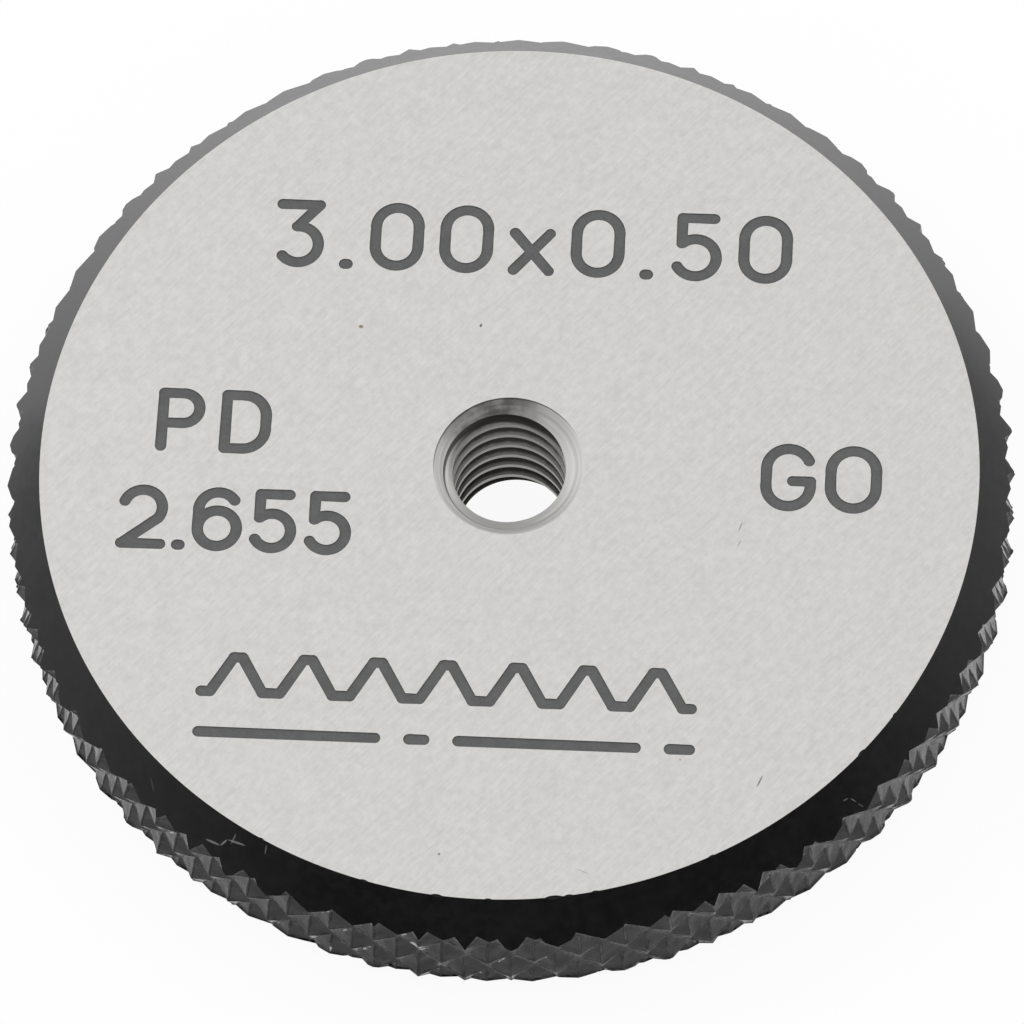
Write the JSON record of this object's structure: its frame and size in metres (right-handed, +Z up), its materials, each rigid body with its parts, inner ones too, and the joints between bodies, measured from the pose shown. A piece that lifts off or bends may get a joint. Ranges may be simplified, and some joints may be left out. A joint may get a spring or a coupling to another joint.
{
  "type": "thread ring gauge",
  "caption": "Flat solid ring gauge with a fine internal thread through its centre, ground faces, chamfered edges and a black diamond-knurled rim.",
  "frame": {"origin": "centre of the lower ground face, on the thread axis", "axes": "+Z up along the thread axis to the marked face; the marking on that face reads along +X, seen with +Y away from the reader"},
  "size_m": [0.022, 0.022, 0.0037],
  "materials": {
    "gauge_steel": "ground satin faces, black oxide on the knurled rim and the chamfers"
  },
  "bodies": {
    "root": {"gauge_ring": "gauge_steel"}
  },
  "joints": []
}
